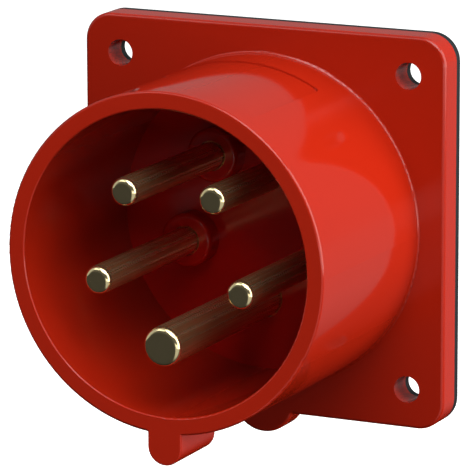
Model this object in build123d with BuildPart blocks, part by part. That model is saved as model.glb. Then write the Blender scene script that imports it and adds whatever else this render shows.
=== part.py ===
from build123d import *
import math
import os

# Five-pin panel inlet of the pin and sleeve kind, 16 A size, earth pin at 6 o'clock.
# Frame: the panel's face is the plane Y = 0, and the shroud points to -Y.
# +Z is up and +X is to the right as someone faces the pins.
# "Forward" is a distance in front of the panel, so forward = -Y. Lengths are in millimetres.

# Flange, which stands out beyond the root of the shroud
flange_margin = 5.0
flange_corner_r = 5.0
flange_thickness = 5.0
flange_edge_r = 0.65
hole_inset = 7.0
hole_d = 4.8
lobe_r = 6.1
lobe_drop = 3.9
lobe_root_r = 0.5

# Gasket behind the flange
gasket_thickness = 1.5
gasket_opening_gap = 0.4

# Shroud, with the draft of its mould outside and inside
shroud_length = 39.3
shroud_rim_d = 59.6
shroud_draft = 0.2
shroud_wall = 3.1
bore_draft = 0.4
rim_outer_r = 0.45
rim_inner_r = 0.3
shroud_root_fillet = 0.4

# Key rib under the shroud
key_width = 6.4
key_height = 5.5
key_length = 13.5
key_front_r = 0.3
key_back_r = 0.5

# Shallow sunk field on top of the shroud
field_half_angle = 30.0
field_from_flange = 8.4
field_from_rim = 4.5
field_depth = 0.32
field_corner_r = 1.0

# Rear skirt of the housing, which passes through the panel
skirt_wall = 2.0
skirt_length = 11.5
skirt_lead_in = 0.5
skirt_key_width = 3.0
skirt_key_height = 1.2

# Contact carrier, whose front face is the floor of the shroud
floor_setback = 0.3
carrier_thickness = 8.0
boss_d = 9.8
boss_height = 3.8
boss_edge_r = 0.8
insert_gap = 0.15
seal_section = 1.8
seal_from_floor = 3.6
seal_gap = 0.02
seal_side_gap = 0.1

# Pins
pins_from_edge = 13.65
pin_seat_step = 0.2
pin_gap = 0.03
pin_neck_cut = 0.2
pin_neck_depth = 1.0
pin_neck_shows = 0.1
live_pin_d = 5.0
live_tip_inside_rim = 1.4
live_collar_d = 10.4
live_barrel_d = 8.5
earth_pin_d = 7.0
earth_tip_beyond_rim = 1.1
earth_collar_d = 12.0
earth_barrel_d = 9.6
tip_r = 1.0
collar_thickness = 2.4
collar_flat_depth = 0.7
collar_gap = 0.1
barrel_length = 20.7
barrel_edge = 0.4
wire_bore_d = 4.2
wire_bore_depth = 13.0
wire_bore_lead_in = 0.5

# Terminal screws, one across each barrel
screw_from_barrel_end = 7.0
screw_d = 3.5
screw_hole_gap = 0.05
screw_travel = 2.2
screw_closed_gap = 0.3
screw_head_d = 6.4
screw_head_height = 2.4
screw_head_edge = 0.3
screw_point = 0.4
slot_width = 0.9
slot_depth = 1.3
cross_length = 3.6

# Terminal block behind the carrier
base_thickness = 6.0
barrel_hole_gap = 0.2

# Barrier plugged into the block: a hub, and a wall between each barrel and the next
hub_inside_pins = 7.2
barrier_wall = 1.6
wall_outside_pins = 2.6
wall_beyond_barrel = 1.5
wall_edge_r = 0.5
spigot_d = 8.0
spigot_gap = 0.03
spigot_short = 0.2

# Screws that hold block and carrier together
block_screws_from_edge = 7.35
block_screw_d = 3.0
block_screw_clearance = 0.2
pilot_gap = 0.03
block_screw_grip = 5.4
pilot_end_gap = 0.2
block_screw_head_d = 5.6
block_screw_head_height = 2.0
block_screw_head_edge = 0.5
block_slot_width = 0.8
block_slot_depth = 1.0
block_cross_length = 3.4

# Snap ring that holds the insert in the skirt
snap_wire_d = 1.5
snap_groove_depth = 0.45
snap_gap = 0.04
snap_mouth_angle = 24.0

# Places that follow from these sizes, as distances in front of the panel
flange_rear = gasket_thickness
flange_front = flange_rear + flange_thickness
rim = flange_front + shroud_length
floor = flange_front - floor_setback
carrier_rear = floor - carrier_thickness
collar_front = carrier_rear + collar_thickness
base_rear = carrier_rear - base_thickness
barrel_rear = carrier_rear - barrel_length
wall_rear = barrel_rear - wall_beyond_barrel
skirt_rear = flange_rear - skirt_length
screw_station = barrel_rear + screw_from_barrel_end
snap_station = base_rear - snap_gap - snap_wire_d / 2

# Radii and heights that follow from them, and how near two equal places are taken to be
near = 0.01
rim_r = shroud_rim_d / 2
root_r = rim_r + shroud_draft
bore_rim_r = rim_r - shroud_wall
bore_floor_r = bore_rim_r + bore_draft
flange_size = 2 * (root_r + flange_margin)
hole_spacing = flange_size - 2 * hole_inset
lobe_centre_z = -(flange_size / 2 + lobe_drop - lobe_r)
skirt_bore_r = root_r - skirt_wall
wall_middle_r = (skirt_bore_r + root_r) / 2
insert_r = skirt_bore_r - insert_gap
pin_circle_r = insert_r - pins_from_edge
block_screw_circle_r = insert_r - block_screws_from_edge
seal_r = skirt_bore_r - seal_gap - seal_section / 2
snap_ring_r = skirt_bore_r + snap_groove_depth - snap_gap - snap_wire_d / 2
hub_r = pin_circle_r - hub_inside_pins
wire_bore_r = wire_bore_d / 2

# The five contacts: name, angle round the axis, and the way its screw points (x, z)
contacts = [
    ("l1", 54.0, (0, 1)),
    ("l2", 126.0, (0, 1)),
    ("l3", 198.0, (-1, 0)),
    ("neutral", 342.0, (1, 0)),
    ("earth", 270.0, (0, -1)),
]
pin_r, collar_r, barrel_r, tip, foot = {}, {}, {}, {}, {}
for name, angle, way in contacts:
    # radii of nose, collar and barrel, then where the nose ends and where it leaves the moulding
    pin_r[name] = live_pin_d / 2
    collar_r[name] = live_collar_d / 2
    barrel_r[name] = live_barrel_d / 2
    tip[name] = rim - live_tip_inside_rim
    foot[name] = floor + boss_height
pin_r["earth"] = earth_pin_d / 2
collar_r["earth"] = earth_collar_d / 2
barrel_r["earth"] = earth_barrel_d / 2
tip["earth"] = rim + earth_tip_beyond_rim
foot["earth"] = floor
block_screw_angles = [18.0, 162.0, 234.0, 306.0]
wall_angles = [18.0, 90.0, 162.0, 234.0, 306.0]


def facing(forward, angle=0.0, radius=0.0):
    """A plane parallel to the panel, so far in front of it, centred at an angle and radius
    round the inlet's axis. Its local X points outwards at that angle, or along X at 0."""
    turn = math.radians(angle)
    x, z = radius * math.cos(turn), radius * math.sin(turn)
    return Plane(origin=(x, -forward, z), x_dir=(math.cos(turn), 0, math.sin(turn)), z_dir=(0, -1, 0))


def pin_centre(angle):
    """X and Z of a pin's axis."""
    return pin_circle_r * math.cos(math.radians(angle)), pin_circle_r * math.sin(math.radians(angle))


def across(angle, way, distance):
    """A plane square to a terminal screw, so far from the axis of its pin."""
    x, z = pin_centre(angle)
    centre = (x + way[0] * distance, -screw_station, z + way[1] * distance)
    return Plane(origin=centre, x_dir=(0, 1, 0), z_dir=(way[0], 0, way[1]))


def under_head(name):
    """Distance from a pin's axis to the underside of its open screw's head."""
    return barrel_r[name] + screw_closed_gap + screw_travel


def lying_at(shapes, forward):
    """Those of the shapes whose middle lies so far in front of the panel."""
    return shapes.filter_by(lambda shape: abs(shape.center().Y + forward) < near)


def finish(piece, name):
    """Labels a finished piece and writes it as its own file."""
    piece.part.label = name
    export_step(piece.part, f"parts/{name}.step")


os.makedirs("parts", exist_ok=True)

# The sunk field is cut with a wedge of a ring, which runs out before the rim
field_back = flange_front + field_from_flange
field_front = rim - field_from_rim
field_turn = math.radians(90.0 + field_half_angle)
field_plane = Plane(
    origin=(0, 0, 0),
    x_dir=(math.cos(field_turn), 0, math.sin(field_turn)),
    z_dir=(-math.sin(field_turn), 0, math.cos(field_turn)),
)


def shroud_r(forward):
    """Outer radius of the drafted shroud so far in front of the panel."""
    return root_r + (rim_r - root_r) * (forward - flange_front) / shroud_length


field_points = [
    (shroud_r(field_back) - field_depth, -field_back),
    (shroud_r(field_front), -field_front),
    (root_r + key_height, -field_front),
    (root_r + key_height, -field_back),
]
field_profile = make_face(Polyline(*field_points, close=True))
field_cut = revolve(field_plane * field_profile, Axis.Y, revolution_arc=2 * field_half_angle)
field_corners = field_cut.edges().filter_by(GeomType.LINE).group_by(Axis.Y)[-1]
field_cut = fillet(field_corners, field_corner_r)

# The housing is one moulding. It is kept as two pieces that touch, the flange and the round wall,
# so that each has a simple shape: a flat plate and a tube.

# Housing flange: the plate with its lobe, its four holes and the opening for the round wall
with BuildPart() as housing_flange:
    with BuildSketch(facing(flange_rear)) as plate:
        RectangleRounded(flange_size, flange_size, flange_corner_r)
        with Locations((0, lobe_centre_z)):
            Circle(lobe_r)
        beside_lobe = plate.vertices().filter_by(lambda v: abs(v.X) < lobe_r and v.Y < 0)
        fillet(beside_lobe.sort_by(Axis.X), lobe_root_r)
    extrude(amount=flange_thickness)
    fillet(lying_at(housing_flange.faces(), flange_front).edges(), flange_edge_r)
    with BuildSketch(facing(flange_rear)):
        Circle(root_r)
        with GridLocations(hole_spacing, hole_spacing, 2, 2):
            Circle(hole_d / 2)
    extrude(amount=flange_thickness, mode=Mode.SUBTRACT)
finish(housing_flange, "housing_flange")

# Housing shroud: the round wall from the rim to the end of the rear skirt, with key and field
with BuildPart() as housing_shroud:
    # the key rib, whose root lies inside the shroud's wall
    key_round_z = -(rim_r + key_height - key_width / 2)
    key_root_z = -(rim_r + bore_floor_r) / 2
    with BuildSketch(facing(rim)):
        with Locations((0, key_round_z)):
            Circle(key_width / 2)
        with Locations((0, (key_round_z + key_root_z) / 2)):
            Rectangle(key_width, key_root_z - key_round_z)
    extrude(amount=-key_length)
    key_front = lying_at(housing_shroud.faces(), rim)
    fillet(key_front.edges().sort_by(Axis.Z)[:-1], key_front_r)
    key_back = lying_at(housing_shroud.faces(), rim - key_length)
    fillet(key_back.edges().sort_by(Axis.Z)[:-1], key_back_r)
    # the wall in one turn, with the small round where the shroud leaves the flange
    fillet_front = flange_front + shroud_root_fillet
    fillet_bulge = shroud_root_fillet * (1 - math.cos(math.radians(45.0)))
    with BuildSketch(Plane.XY) as wall:
        with BuildLine():
            Polyline(
                (root_r + shroud_root_fillet, -flange_front),
                (root_r, -flange_front),
                (root_r, -skirt_rear),
                (skirt_bore_r + skirt_lead_in, -skirt_rear),
                (skirt_bore_r, -skirt_rear - skirt_lead_in),
                (skirt_bore_r, -floor),
                (bore_floor_r, -floor),
                (bore_rim_r, -rim),
                (rim_r, -rim),
                (shroud_r(fillet_front), -fillet_front),
            )
            ThreePointArc(
                (shroud_r(fillet_front), -fillet_front),
                (root_r + fillet_bulge, -flange_front - fillet_bulge),
                (root_r + shroud_root_fillet, -flange_front),
            )
        make_face()
        fillet(wall.vertices().group_by(Axis.Y)[0].sort_by(Axis.X)[0], rim_inner_r)
        fillet(wall.vertices().group_by(Axis.Y)[0].sort_by(Axis.X)[-1], rim_outer_r)
    revolve(axis=Axis.Y)
    # the groove for the snap ring
    with BuildSketch(Plane.XY):
        with Locations((snap_ring_r, -snap_station)):
            Circle(snap_wire_d / 2 + snap_gap)
    revolve(axis=Axis.Y, mode=Mode.SUBTRACT)
    # the rib inside the skirt that sets the insert's hour position
    skirt_key_top_r = skirt_bore_r - skirt_key_height
    with BuildSketch(facing(carrier_rear - insert_gap)):
        with Locations((0, -(wall_middle_r + skirt_key_top_r) / 2)):
            Rectangle(skirt_key_width, wall_middle_r - skirt_key_top_r)
    extrude(amount=-(base_thickness - 2 * insert_gap))
    # the sunk field on top
    add(field_cut, mode=Mode.SUBTRACT)
finish(housing_shroud, "housing_shroud")

# Flange gasket, with the flange's outline and holes
with BuildPart() as flange_gasket:
    with BuildSketch(facing(0)):
        RectangleRounded(flange_size, flange_size, flange_corner_r)
        Circle(root_r + gasket_opening_gap, mode=Mode.SUBTRACT)
        with GridLocations(hole_spacing, hole_spacing, 2, 2):
            Circle(hole_d / 2, mode=Mode.SUBTRACT)
    extrude(amount=gasket_thickness)
finish(flange_gasket, "flange_gasket")

# Contact carrier: the shroud's floor, with a boss round each live pin
with BuildPart() as contact_carrier:
    with BuildSketch(facing(carrier_rear)):
        Circle(insert_r)
    extrude(amount=carrier_thickness)
    with BuildSketch(facing(floor)):
        for name, angle, way in contacts:
            if foot[name] > floor:
                with Locations(pin_centre(angle)):
                    Circle(boss_d / 2)
    extrude(amount=boss_height)
    fillet(lying_at(contact_carrier.edges(), floor + boss_height), boss_edge_r)
    # holes for the pins, and seats for their collars from behind
    with BuildSketch(facing(carrier_rear)):
        for name, angle, way in contacts:
            with Locations(pin_centre(angle)):
                Circle(pin_r[name] + pin_seat_step + pin_gap)
    extrude(amount=carrier_thickness + boss_height, mode=Mode.SUBTRACT)
    for name, angle, way in contacts:
        pocket_r = collar_r[name] + collar_gap
        with BuildSketch(facing(carrier_rear, angle, pin_circle_r)):
            Circle(pocket_r)
            with Locations((collar_flat_depth - pocket_r, 0)):
                Rectangle(pocket_r, 2 * pocket_r, align=(Align.MAX, Align.CENTER), mode=Mode.SUBTRACT)
        extrude(amount=collar_thickness, mode=Mode.SUBTRACT)
    # blind holes for the screws of the terminal block
    for angle in block_screw_angles:
        with BuildSketch(facing(carrier_rear, angle, block_screw_circle_r)):
            Circle(block_screw_d / 2 + pilot_gap)
        extrude(amount=block_screw_grip + pilot_end_gap, mode=Mode.SUBTRACT)
    # groove of the ring seal
    seal_station = floor - seal_from_floor
    groove_floor_r = seal_r - seal_section / 2 - seal_gap
    with BuildSketch(Plane.XY):
        with Locations((groove_floor_r, -seal_station)):
            Rectangle(seal_section, seal_section + 2 * seal_side_gap, align=(Align.MIN, Align.CENTER))
    revolve(axis=Axis.Y, mode=Mode.SUBTRACT)
finish(contact_carrier, "contact_carrier")

# Ring seal of the carrier
with BuildPart() as carrier_seal:
    with BuildSketch(Plane.XY):
        with Locations((seal_r, -seal_station)):
            Circle(seal_section / 2)
    revolve(axis=Axis.Y)
finish(carrier_seal, "carrier_seal")

# Terminal block: the disc that closes over the collars of the pins
with BuildPart() as terminal_block:
    with BuildSketch(facing(base_rear)):
        Circle(insert_r)
        with Locations((0, -(skirt_key_top_r - insert_gap))):
            Rectangle(
                skirt_key_width + 2 * insert_gap,
                skirt_bore_r,
                align=(Align.CENTER, Align.MAX),
                mode=Mode.SUBTRACT,
            )
        Circle(spigot_d / 2 + spigot_gap, mode=Mode.SUBTRACT)
        for name, angle, way in contacts:
            with Locations(pin_centre(angle)):
                Circle(barrel_r[name] + barrel_hole_gap, mode=Mode.SUBTRACT)
    extrude(amount=base_thickness)
    for angle in block_screw_angles:
        with BuildSketch(facing(base_rear, angle, block_screw_circle_r)):
            Circle(block_screw_d / 2 + block_screw_clearance)
        extrude(amount=base_thickness, mode=Mode.SUBTRACT)
finish(terminal_block, "terminal_block")

# Barrier that keeps the terminals and their wires apart
with BuildPart() as terminal_barrier:
    with BuildSketch(facing(wall_rear)):
        Circle(hub_r)
    extrude(amount=base_rear - wall_rear)
    for angle in wall_angles:
        with BuildSketch(facing(wall_rear, angle)):
            Rectangle(pin_circle_r + wall_outside_pins, barrier_wall, align=(Align.MIN, Align.CENTER))
        extrude(amount=base_rear - wall_rear)
    fillet(lying_at(terminal_barrier.edges(), wall_rear), wall_edge_r)
    with BuildSketch(facing(base_rear)):
        Circle(spigot_d / 2)
    extrude(amount=base_thickness - spigot_short)
finish(terminal_barrier, "terminal_barrier")

# Snap ring, open at the top
with BuildPart() as snap_ring:
    mouth = math.radians(90.0 + snap_mouth_angle / 2)
    start = Plane(
        origin=(0, 0, 0),
        x_dir=(math.cos(mouth), 0, math.sin(mouth)),
        z_dir=(-math.sin(mouth), 0, math.cos(mouth)),
    )
    with BuildSketch(start):
        with Locations((snap_ring_r, -snap_station)):
            Circle(snap_wire_d / 2)
    revolve(axis=Axis.Y, revolution_arc=-(360.0 - snap_mouth_angle))
finish(snap_ring, "snap_ring")

# Pins: nose, collar with a flat, and a barrel bored for the wire and for its screw
for name, angle, way in contacts:
    x, z = pin_centre(angle)
    # a turned neck at the mouth of the hole leaves the dark ring seen round each nose
    seat_r = pin_r[name] + pin_seat_step
    neck_r = pin_r[name] - pin_neck_cut
    with BuildPart() as pin:
        with BuildSketch(Plane.XY.offset(z)) as profile:
            with BuildLine():
                Polyline(
                    (x, -tip[name]),
                    (x + pin_r[name], -tip[name]),
                    (x + pin_r[name], -foot[name] - pin_neck_shows),
                    (x + neck_r, -foot[name] - pin_neck_shows),
                    (x + neck_r, -foot[name] + pin_neck_depth),
                    (x + seat_r, -foot[name] + pin_neck_depth),
                    (x + seat_r, -collar_front),
                    (x + collar_r[name], -collar_front),
                    (x + collar_r[name], -carrier_rear),
                    (x + barrel_r[name], -carrier_rear),
                    (x + barrel_r[name], -barrel_rear - barrel_edge),
                    (x + barrel_r[name] - barrel_edge, -barrel_rear),
                    (x + wire_bore_r + wire_bore_lead_in, -barrel_rear),
                    (x + wire_bore_r, -barrel_rear - wire_bore_lead_in),
                    (x + wire_bore_r, -barrel_rear - wire_bore_depth),
                    (x, -barrel_rear - wire_bore_depth),
                    close=True,
                )
            make_face()
            nose = profile.vertices().group_by(Axis.Y)[0].sort_by(Axis.X)[-1]
            fillet(nose, tip_r)
        revolve(axis=Axis((x, 0, z), (0, 1, 0)))
        # the flat on the collar, towards the inlet's axis
        with BuildSketch(facing(carrier_rear, angle, pin_circle_r)):
            with Locations((collar_flat_depth - collar_r[name], 0)):
                Rectangle(collar_r[name], 2 * collar_r[name], align=(Align.MAX, Align.CENTER))
        extrude(amount=collar_thickness, mode=Mode.SUBTRACT)
        # the cross hole of the terminal screw
        with BuildSketch(across(angle, way, 0)):
            Circle(screw_d / 2 + screw_hole_gap)
        extrude(amount=barrel_r[name], mode=Mode.SUBTRACT)
    finish(pin, f"pin_{name}")

# Terminal screws, drawn fully open: the point is level with the wall of the wire bore
for name, angle, way in contacts:
    head_from = under_head(name)
    with BuildPart() as terminal_screw:
        with BuildSketch(across(angle, way, wire_bore_r)):
            Circle(screw_d / 2)
        extrude(amount=head_from - wire_bore_r)
        inner_way = Axis((0, 0, 0), (way[0], 0, way[1]))
        chamfer(terminal_screw.edges().group_by(inner_way)[0], screw_point)
        with BuildSketch(across(angle, way, head_from)):
            Circle(screw_head_d / 2)
        extrude(amount=screw_head_height)
        fillet(terminal_screw.edges().group_by(inner_way)[-1], screw_head_edge)
        with BuildSketch(across(angle, way, head_from + screw_head_height)):
            Rectangle(screw_head_d, slot_width)
            Rectangle(slot_width, cross_length)
        extrude(amount=-slot_depth, mode=Mode.SUBTRACT)
    finish(terminal_screw, f"terminal_screw_{name}")

# Screws that hold the terminal block to the carrier
for number, angle in enumerate(block_screw_angles, start=1):
    with BuildPart() as block_screw:
        with BuildSketch(facing(base_rear, angle, block_screw_circle_r)):
            Circle(block_screw_d / 2)
        extrude(amount=base_thickness + block_screw_grip)
        with BuildSketch(facing(base_rear, angle, block_screw_circle_r)):
            Circle(block_screw_head_d / 2)
        extrude(amount=-block_screw_head_height)
        fillet(block_screw.edges().group_by(Axis.Y)[-1], block_screw_head_edge)
        with BuildSketch(facing(base_rear - block_screw_head_height, angle, block_screw_circle_r)):
            Rectangle(block_screw_head_d, block_slot_width)
            Rectangle(block_slot_width, block_cross_length)
        extrude(amount=block_slot_depth, mode=Mode.SUBTRACT)
    finish(block_screw, f"block_screw_{number}")
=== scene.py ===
import bpy
import math
from mathutils import Matrix, Vector


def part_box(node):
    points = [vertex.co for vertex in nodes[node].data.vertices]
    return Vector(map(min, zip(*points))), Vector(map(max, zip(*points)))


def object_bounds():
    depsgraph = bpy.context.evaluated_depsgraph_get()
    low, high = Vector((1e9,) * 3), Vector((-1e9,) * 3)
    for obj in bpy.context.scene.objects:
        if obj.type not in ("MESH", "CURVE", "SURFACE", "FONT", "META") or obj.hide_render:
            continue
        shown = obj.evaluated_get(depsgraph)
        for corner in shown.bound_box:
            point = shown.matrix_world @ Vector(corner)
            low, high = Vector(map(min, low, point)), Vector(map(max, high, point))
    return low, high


# Looks of a five-pin panel inlet: glossy red mouldings, brass pins, a black gasket.
# Everything is in metres, in the frame of the solids: the panel's face is Y = 0, the pins point
# to -Y and +Z is up. Right is +X, as for someone who faces the pins.
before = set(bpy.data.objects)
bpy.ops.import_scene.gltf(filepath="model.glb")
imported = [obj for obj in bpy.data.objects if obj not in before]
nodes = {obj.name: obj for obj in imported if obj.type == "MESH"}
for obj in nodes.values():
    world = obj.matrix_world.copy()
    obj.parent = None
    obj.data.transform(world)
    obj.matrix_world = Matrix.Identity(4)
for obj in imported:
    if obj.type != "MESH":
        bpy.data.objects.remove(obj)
cad_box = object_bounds()
MM = 0.001
ORIGIN = (0.0, 0.0, 0.0)
NUMBER, COLOUR, VECTOR = "NodeSocketFloat", "NodeSocketColor", "NodeSocketVector"


# ---------- small helpers for shader nodes ----------

def feed(tree, target, source):
    """Joins an output socket to an input socket, or sets the input socket to a value."""
    if isinstance(source, bpy.types.NodeSocket):
        tree.links.new(source, target)
    else:
        target.default_value = source


def feed_all(tree, targets, sources):
    """Feeds several input sockets by their names or numbers."""
    for key, source in sources.items():
        feed(tree, targets[key], source)


def node(tree, kind, inputs=None, **settings):
    """A node with its settings. Each of its inputs is given a value or an output socket."""
    made = tree.nodes.new(kind)
    for key, value in settings.items():
        setattr(made, key, value)
    feed_all(tree, made.inputs, inputs or {})
    return made


def maths(tree, operation, *terms):
    """The result of one operation. Each term is a number or an output socket."""
    return node(tree, "ShaderNodeMath", dict(enumerate(terms)), operation=operation).outputs[0]


def mix(tree, kind, share, first, second):
    """A blend of two numbers (FLOAT) or two colours (RGBA). A share of 1 is all the second."""
    made = node(tree, "ShaderNodeMix", {"Factor": share, "A": first, "B": second}, data_type=kind)
    return made.outputs["Result"]


def between(tree, value, start, end, low=0.0, high=1.0, curve="LINEAR"):
    """A number that goes from low to high as the value goes from start to end."""
    made = node(tree, "ShaderNodeMapRange",
                {"Value": value, "From Min": start, "From Max": end, "To Min": low, "To Max": high},
                interpolation_type=curve)
    return made.outputs["Result"]


def noise(tree, source, scale, detail, roughness, dimensions="3D"):
    """Noise over a vector, or over one number where it has 1D."""
    entry = "W" if dimensions == "1D" else "Vector"
    made = node(tree, "ShaderNodeTexNoise",
                {entry: source, "Scale": scale, "Detail": detail, "Roughness": roughness},
                noise_dimensions=dimensions)
    return made.outputs["Fac"]


def relief(tree, strength, height, depth):
    """A normal bent by a height, of which 1 stands for that depth in metres."""
    made = node(tree, "ShaderNodeBump", {"Strength": strength, "Height": height, "Distance": depth})
    return made.outputs["Normal"]


def ramp(tree, source, stops):
    """A colour ramp over a value, with stops of (place, colour)."""
    made = node(tree, "ShaderNodeValToRGB", {"Fac": source})
    band = made.color_ramp
    while len(band.elements) < len(stops):
        band.elements.new(0.5)
    for element, (place, colour) in zip(band.elements, stops):
        element.position = place
        element.color = colour
    return made.outputs["Color"]


def grey(value):
    """An opaque grey."""
    return (value, value, value, 1.0)


def along(tree, kind, axis):
    """One axis of a texture coordinate of that kind."""
    source = node(tree, "ShaderNodeTexCoord")
    return node(tree, "ShaderNodeSeparateXYZ", {0: source.outputs[kind]}).outputs[axis]


def rising(tree, axis, low, high, start, end):
    """A number that goes smoothly from low to high between two places along an axis."""
    return between(tree, along(tree, "Object", axis), start, end, low, high, "SMOOTHSTEP")


def pattern_space(tree, centre, turn):
    """Object coordinates moved to the centre of a pattern and turned with it."""
    source = node(tree, "ShaderNodeTexCoord")
    made = node(tree, "ShaderNodeMapping",
                {"Vector": source.outputs["Object"], "Location": centre, "Rotation": turn},
                vector_type="TEXTURE")
    return made.outputs["Vector"]


# ---------- effects shared by several finishes ----------

SKIN = {"Color": COLOUR, "Roughness": NUMBER, "Normal": VECTOR}
NOISE_MIDDLE = 0.5
MOULD_DEPTH = 0.0002      # height of the waves of a moulded skin
GRAIN_SHARE = 0.12        # part of the fine grain in that height
TOOL_DEPTH = 0.00002      # height of the tool marks of a turned skin
STAIN_SHARE = 0.5         # part of the stains in its roughness
STREAK_DEPTH = 0.00003    # height of the marks of a pin
STREAK_DENSITY = 2600.0
STREAK_SQUEEZE = 0.006    # of the streak noise along the pin, which draws it out into streaks
RING_DENSITY = 2300.0
MARK_SWING = 0.25         # part of the marks in a pin's roughness
NOSE_BLEND = 0.0003       # length over which the shaft's skin turns into the nose's
NOSE_METALLIC = 0.955


def new_group(name, colours, numbers, outputs):
    """A shader node group that takes a Vector and the named colours and numbers. With it come
    the sockets inside: what the group is given, and what it gives."""
    group = bpy.data.node_groups.new(name, "ShaderNodeTree")
    inputs = {"Vector": VECTOR, **dict.fromkeys(colours, COLOUR), **dict.fromkeys(numbers, NUMBER)}
    for side, sockets in (("INPUT", inputs), ("OUTPUT", outputs)):
        for label, kind in sockets.items():
            group.interface.new_socket(name=label, in_out=side, socket_type=kind)
    start = group.nodes.new("NodeGroupInput")
    end = group.nodes.new("NodeGroupOutput")
    return group, start.outputs, end.inputs


def round_axis(group, vector):
    """The distance from local Z, and the place along it."""
    parts = node(group, "ShaderNodeSeparateXYZ", {0: vector}).outputs
    flat = node(group, "ShaderNodeCombineXYZ", {"X": parts["X"], "Y": parts["Y"]})
    radius = node(group, "ShaderNodeVectorMath", {0: flat.outputs[0]}, operation="LENGTH")
    return radius.outputs["Value"], parts["Z"]


def build_moulded_skin():
    """Skin of an injection moulding. Colour: two shades mixed by a slow noise. Roughness: a base
    value plus that noise, as the melt cooled unevenly. Height: long shallow waves, finer grain."""
    group, given, gives = new_group(
        "moulded_skin", ("Shade", "Deep shade"),
        ("Roughness", "Unevenness", "Wave", "Grain", "Relief"), SKIN)
    slow = noise(group, given["Vector"], given["Wave"], detail=2.0, roughness=0.5)
    fine = noise(group, given["Vector"], given["Grain"], detail=3.0, roughness=0.6)
    uneven = maths(group, "SUBTRACT", slow, NOISE_MIDDLE)
    height = maths(group, "MULTIPLY_ADD", fine, GRAIN_SHARE, slow)
    feed_all(group, gives, {
        "Color": mix(group, "RGBA", slow, given["Deep shade"], given["Shade"]),
        "Roughness": maths(group, "MULTIPLY_ADD", uneven, given["Unevenness"], given["Roughness"]),
        "Normal": relief(group, given["Relief"], height, MOULD_DEPTH)})
    return group


def build_turned_skin():
    """Skin of a turned metal piece whose axis is local Z. Height: marks, a noise of the distance
    from the axis plus the place along it, so they run round it. Colour: tarnish in patches.
    Roughness: a base value plus both."""
    group, given, gives = new_group(
        "turned_skin", ("Metal", "Tarnish"),
        ("Roughness", "Unevenness", "Mark density", "Stain size", "Relief"), SKIN)
    radius, station = round_axis(group, given["Vector"])
    marks = noise(group, maths(group, "ADD", radius, station), given["Mark density"],
                  detail=3.0, roughness=0.7, dimensions="1D")
    stain = noise(group, given["Vector"], given["Stain size"], detail=4.0, roughness=0.6)
    patch = between(group, stain, start=0.42, end=0.72)
    both = maths(group, "MULTIPLY_ADD", patch, STAIN_SHARE, marks)
    feed_all(group, gives, {
        "Color": mix(group, "RGBA", patch, given["Metal"], given["Tarnish"]),
        "Roughness": maths(group, "MULTIPLY_ADD", both, given["Unevenness"], given["Roughness"]),
        "Normal": relief(group, given["Relief"], marks, TOOL_DEPTH)})
    return group


def build_pin_skin():
    """Skin of a brass pin along local Z. The shaft was drawn: streaks, a noise drawn out along the
    axis, in colour, roughness and height. The nose was turned: rings, a noise of the distance
    from the axis, in roughness and height. One blends into the other at the place called Nose."""
    group, given, gives = new_group(
        "pin_skin", ("Metal", "Tarnish"),
        ("Nose", "Nose roughness", "Shaft roughness", "Streak", "Shaft metallic"),
        {**SKIN, "Metallic": NUMBER})
    radius, station = round_axis(group, given["Vector"])
    squeezed = node(group, "ShaderNodeVectorMath",
                    {0: given["Vector"], 1: (1.0, 1.0, STREAK_SQUEEZE)}, operation="MULTIPLY")
    streaks = noise(group, squeezed.outputs[0], STREAK_DENSITY, detail=3.0, roughness=0.65)
    rings = noise(group, radius, RING_DENSITY, detail=2.0, roughness=0.6, dimensions="1D")
    past_nose = maths(group, "SUBTRACT", maths(group, "ABSOLUTE", station), given["Nose"])
    nose = between(group, past_nose, start=0.0, end=NOSE_BLEND, curve="SMOOTHSTEP")
    marks = mix(group, "FLOAT", nose, streaks, rings)
    patch = between(group, streaks, start=0.35, end=0.58)
    stained = maths(group, "MULTIPLY", patch, maths(group, "SUBTRACT", 1.0, nose))
    base = mix(group, "FLOAT", nose, given["Shaft roughness"], given["Nose roughness"])
    swing = maths(group, "SUBTRACT", marks, NOISE_MIDDLE)
    feed_all(group, gives, {
        "Color": mix(group, "RGBA", stained, given["Metal"], given["Tarnish"]),
        "Roughness": maths(group, "MULTIPLY_ADD", swing, MARK_SWING, base),
        "Metallic": mix(group, "FLOAT", nose, given["Shaft metallic"], NOSE_METALLIC),
        "Normal": relief(group, given["Streak"], marks, STREAK_DEPTH)})
    return group


moulded_skin = build_moulded_skin()
turned_skin = build_turned_skin()
pin_skin = build_pin_skin()


# ---------- finishes ----------

def finish_material(name, constants):
    """A material with one Principled shader, whose constant values are set on its own sockets."""
    made = bpy.data.materials.new(name)
    made.use_nodes = True
    tree = made.node_tree
    shader = tree.nodes["Principled BSDF"]
    feed_all(tree, shader.inputs, constants)
    return made, tree, shader


def skinned(name, skin, constants, values, centre=ORIGIN, turn=ORIGIN):
    """A material whose shader takes all that an effect group gives."""
    made, tree, shader = finish_material(name, constants)
    effect = node(tree, "ShaderNodeGroup", node_tree=skin)
    feed_all(tree, effect.inputs, {"Vector": pattern_space(tree, centre, turn), **values})
    for socket in effect.outputs:
        label = "Base Color" if socket.name == "Color" else socket.name
        feed(tree, shader.inputs[label], socket)
    return made


def paint_front_light(material, start, end, shade):
    """A painted highlight: a lighter shade on the front, in full before start along Y, none after
    end.
    """
    tree = material.node_tree
    base = tree.nodes["Principled BSDF"].inputs["Base Color"]
    painted_light = rising(tree, "Y", 1.0, 0.0, start, end)
    feed(tree, base, mix(tree, "RGBA", painted_light, base.links[0].from_socket, shade))


def assign(material, *names):
    """Gives each of these carried-over pieces one finish."""
    for name in names:
        mesh = nodes[name].data
        mesh.materials.clear()
        mesh.materials.append(material)
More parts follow.
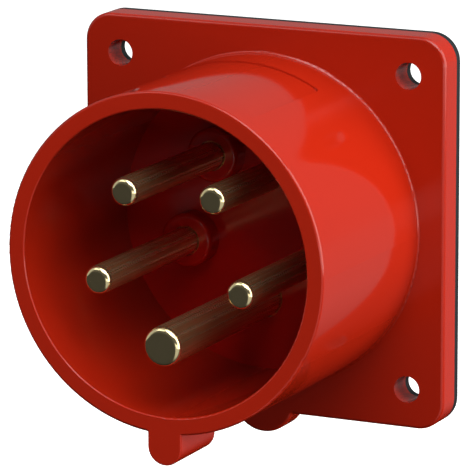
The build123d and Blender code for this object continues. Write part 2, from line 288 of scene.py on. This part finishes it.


# Rim and key have their front face at -45.8 mm. The painted highlight covers it and ends on its
# edge rounds.
PAINTED_LIGHT_START, PAINTED_LIGHT_END = -45.78 * MM, -45.66 * MM
RED_IOR = 1.48
POLISHED = {"Unevenness": 0.03, "Wave": 45.0, "Grain": 1400.0, "Relief": 0.05}

housing_red = skinned(
    "housing_red", moulded_skin, {"IOR": RED_IOR, "Specular IOR Level": 0.5},
    {**POLISHED, "Shade": (0.405, 0.0155, 0.0040, 1.0), "Deep shade": (0.38, 0.0140, 0.0036, 1.0),
     "Roughness": 0.09})
# Painted light: the front faces of rim and key get a lighter red, as if more light fell there.
paint_front_light(housing_red, PAINTED_LIGHT_START, PAINTED_LIGHT_END, (0.49, 0.0195, 0.0058, 1.0))
assign(housing_red, "housing_flange", "housing_shroud")

carrier_red = skinned(
    "carrier_red", moulded_skin, {"IOR": RED_IOR, "Specular IOR Level": 0.3},
    {**POLISHED, "Shade": (0.50, 0.008, 0.004, 1.0), "Deep shade": (0.46, 0.006, 0.003, 1.0),
     "Roughness": 0.12})
assign(carrier_red, "contact_carrier")

block_dark = skinned(
    "block_plastic", moulded_skin, {"IOR": 1.5},
    {"Shade": (0.035, 0.036, 0.038, 1.0), "Deep shade": (0.026, 0.027, 0.029, 1.0),
     "Roughness": 0.42, "Unevenness": 0.12, "Wave": 70.0, "Grain": 2600.0, "Relief": 0.35})
assign(block_dark, "terminal_block", "terminal_barrier")

rubber = skinned(
    "gasket_rubber", moulded_skin, {"IOR": 1.45, "Specular IOR Level": 0.25},
    {"Shade": (0.010, 0.016, 0.019, 1.0), "Deep shade": (0.006, 0.010, 0.012, 1.0),
     "Roughness": 0.55, "Unevenness": 0.2, "Wave": 220.0, "Grain": 3200.0, "Relief": 0.5})
assign(rubber, "flange_gasket", "carrier_seal")

# Each pin has its own material, because the pattern is centred on the pin's axis.
ACROSS_Y = (math.radians(90.0), 0.0, 0.0)
PIN_CIRCLE = 14.2 * MM
PIN_ANGLES = {"l1": 54.0, "l2": 126.0, "l3": 198.0, "neutral": 342.0, "earth": 270.0}
NOSE_LENGTH = 1.1 * MM    # from a pin's tip back to the end of its turned nose
BRASS = {"Metal": (0.88, 0.74, 0.41, 1.0), "Tarnish": (0.76, 0.38, 0.17, 1.0),
         "Nose roughness": 0.10, "Shaft roughness": 0.29, "Streak": 0.13, "Shaft metallic": 0.93}
for name, angle in PIN_ANGLES.items():
    turn = math.radians(angle)
    centre = (PIN_CIRCLE * math.cos(turn), 0.0, PIN_CIRCLE * math.sin(turn))
    nose = -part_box("pin_" + name)[0][1] - NOSE_LENGTH
    brass = skinned("brass_" + name, pin_skin, {}, {**BRASS, "Nose": nose}, centre, ACROSS_Y)
    assign(brass, "pin_" + name)

# The marks of the screws and the snap ring run round the inlet's own axis.
zinc = skinned(
    "screw_zinc", turned_skin, {"Metallic": 1.0},
    {"Metal": (0.62, 0.63, 0.65, 1.0), "Tarnish": (0.50, 0.51, 0.54, 1.0), "Roughness": 0.24,
     "Unevenness": 0.1, "Mark density": 3200.0, "Stain size": 260.0, "Relief": 0.3},
    turn=ACROSS_Y)
assign(zinc, "snap_ring", *("terminal_screw_" + name for name in PIN_ANGLES),
       *("block_screw_%d" % number for number in (1, 2, 3, 4)))

# ---------- floor and background ----------

FLOOR_DROP = 0.12         # from the object's lowest point down to the floor
FLOOR_REACH = 3.0         # half the floor's side
CAMERA_GLOW = 0.80        # the floor's own light, as the camera sees it
CAMERA_PAINT = 0.86       # its paint, as the camera sees it
SPREAD_PAINT = 0.05       # its paint for the light that it sends on to the object
FLOOR_LIGHT = 1.6         # its own light on the object, from the right and the rear
REAR_GLOW = 0.24          # its glow there, which the outsides of shroud and flange mirror
FRONT_LEFT_GLOW = 0.03    # its glow where the flat fronts of flange and pins mirror it
FRONT_RIGHT_GLOW = 0.55   # its glow where the rounded edges of pins and mouldings mirror it
TO_REAR, TO_FRONT = (0.0, 1.0), (1.0, 0.0)

floor_height = cad_box[0][2] - FLOOR_DROP
floor_mesh = bpy.data.meshes.new("floor")
floor_mesh.from_pydata(
    [(FLOOR_REACH * x, FLOOR_REACH * y, floor_height)
     for x, y in ((-1.0, -1.0), (1.0, -1.0), (1.0, 1.0), (-1.0, 1.0))],
    [], [(0, 1, 2, 3)])
floor = bpy.data.objects.new("floor", floor_mesh)
bpy.context.scene.collection.objects.link(floor)
pale, pale_tree, pale_shader = finish_material(
    "pale_floor", {"Roughness": 0.9, "Specular IOR Level": 0.0, "Emission Color": grey(1.0)})
floor_mesh.materials.append(pale)


def seen_by(tree, camera, glossy, other):
    """A value for each kind of ray: what the camera sees, what reflections see, and the rest.
    Each is a number or an output socket."""
    rays = node(tree, "ShaderNodeLightPath").outputs
    mirrored = maths(tree, "MAXIMUM", rays["Is Glossy Ray"], rays["Is Transmission Ray"])
    unseen = mix(tree, "FLOAT", mirrored, other, glossy)
    return mix(tree, "FLOAT", rays["Is Camera Ray"], unseen, camera)


def floor_patch(left_right, x_places, front_rear, y_places):
    """A glow of the floor: it goes from one value to another along X, times a share along Y."""
    across = rising(pale_tree, "X", *left_right, *x_places)
    return maths(pale_tree, "MULTIPLY", across, rising(pale_tree, "Y", *front_rear, *y_places))


rear_glow = floor_patch(left_right=(0.0, REAR_GLOW), x_places=(-0.02, 0.2),
                        front_rear=TO_REAR, y_places=(0.0, 0.3))
front_glow = floor_patch(left_right=(FRONT_LEFT_GLOW, FRONT_RIGHT_GLOW), x_places=(0.02, 0.10),
                         front_rear=TO_FRONT, y_places=(-0.16, -0.03))
light = floor_patch(left_right=(0.0, FLOOR_LIGHT), x_places=(0.02, 0.2),
                    front_rear=TO_REAR, y_places=(-0.06, 0.04))
mirrored_floor = maths(pale_tree, "ADD", rear_glow, front_glow)
paint = seen_by(pale_tree, CAMERA_PAINT, 0.0, SPREAD_PAINT)
paint_grey = node(pale_tree, "ShaderNodeCombineColor",
                  {"Red": paint, "Green": paint, "Blue": paint})
feed_all(pale_tree, pale_shader.inputs, {
    "Base Color": paint_grey.outputs["Color"],
    "Emission Strength": seen_by(pale_tree, CAMERA_GLOW, mirrored_floor, light)})

# The background is white to the camera. For the object it changes from front (0) to rear (1).
MIRRORED_ROOM = ((0.10, grey(0.075)), (0.20, grey(0.5)), (0.42, grey(0.5)), (0.58, grey(0.21)))
ROOM_LIGHT = ((0.25, grey(0.04)), (0.75, grey(0.60)))
world = bpy.data.worlds.new("studio")
bpy.context.scene.world = world
world.use_nodes = True
sky = world.node_tree
depth = between(sky, along(sky, "Generated", "Y"), start=-1.0, end=1.0)
feed_all(sky, sky.nodes["Background"].inputs, {
    "Color": grey(1.0),
    "Strength": seen_by(sky, 1.0, ramp(sky, depth, MIRRORED_ROOM), ramp(sky, depth, ROOM_LIGHT))})

# ---------- lamps ----------

LAMP_TARGET = Vector((0.0, -0.02, 0.0))
WARM, WHITE = (1.0, 0.98, 0.94), (1.0, 1.0, 1.0)
# Azimuth and elevation in degrees, distance, width, height, level and colour.
LAMPS = {
    "side_wall": (98.0, 13.0, 0.9, 1.4, 1.0, 1.58, WARM),
    "front_strip": (40.0, -7.0, 1.0, 0.95, 0.26, 0.10, WARM),
    "overhead": (33.0, 48.0, 1.1, 1.0, 0.7, 0.68, WHITE),
    "ceiling": (65.0, 68.0, 1.0, 1.3, 0.8, 0.42, WHITE),
    "left_fill": (-35.0, 42.0, 1.2, 0.6, 0.5, 0.09, WHITE),
}


def softbox(name, azimuth, elevation, distance, width, height, level, colour):
    """A flat rectangular lamp that looks at the object, so bright that a surface facing it gets
    that level of light. Azimuth 0 is in front of the object and 90 on its right."""
    a, e = math.radians(azimuth), math.radians(elevation)
    direction = Vector((math.sin(a) * math.cos(e), -math.cos(a) * math.cos(e), math.sin(e)))
    lamp = bpy.data.lights.new(name, "AREA")
    lamp.shape = "RECTANGLE"
    lamp.size = width
    lamp.size_y = height
    lamp.energy = level * (math.pi * distance) ** 2
    lamp.color = colour
    made = bpy.data.objects.new(name, lamp)
    made.location = LAMP_TARGET + direction * distance
    made.rotation_euler = (-direction).to_track_quat("-Z", "Y").to_euler()
    bpy.context.scene.collection.objects.link(made)


for name, row in LAMPS.items():
    softbox(name, *row)

# ---------- camera ----------

# The place and the axes were found by fitting, and the lens is a little longer than that fit gave.
EYE = Vector((0.322009, -0.686360, 0.164741))
RIGHT = Vector((0.90137479, 0.43302834, -0.0031525))
UP = Vector((-0.09143778, 0.197439, 0.97604148))
BACK = Vector((0.42327605, -0.87949093, 0.21756169))
lens = bpy.data.cameras.new("camera")
lens.sensor_fit = "HORIZONTAL"
lens.sensor_width = 36.0
lens.lens = 331.4
lens.clip_start = 0.01
lens.clip_end = 20.0
camera = bpy.data.objects.new("camera", lens)
camera.matrix_world = Matrix.Translation(EYE) @ Matrix((RIGHT, UP, BACK)).transposed().to_4x4()
bpy.context.scene.collection.objects.link(camera)
bpy.context.scene.camera = camera
bpy.context.scene.view_settings.view_transform = "Standard"
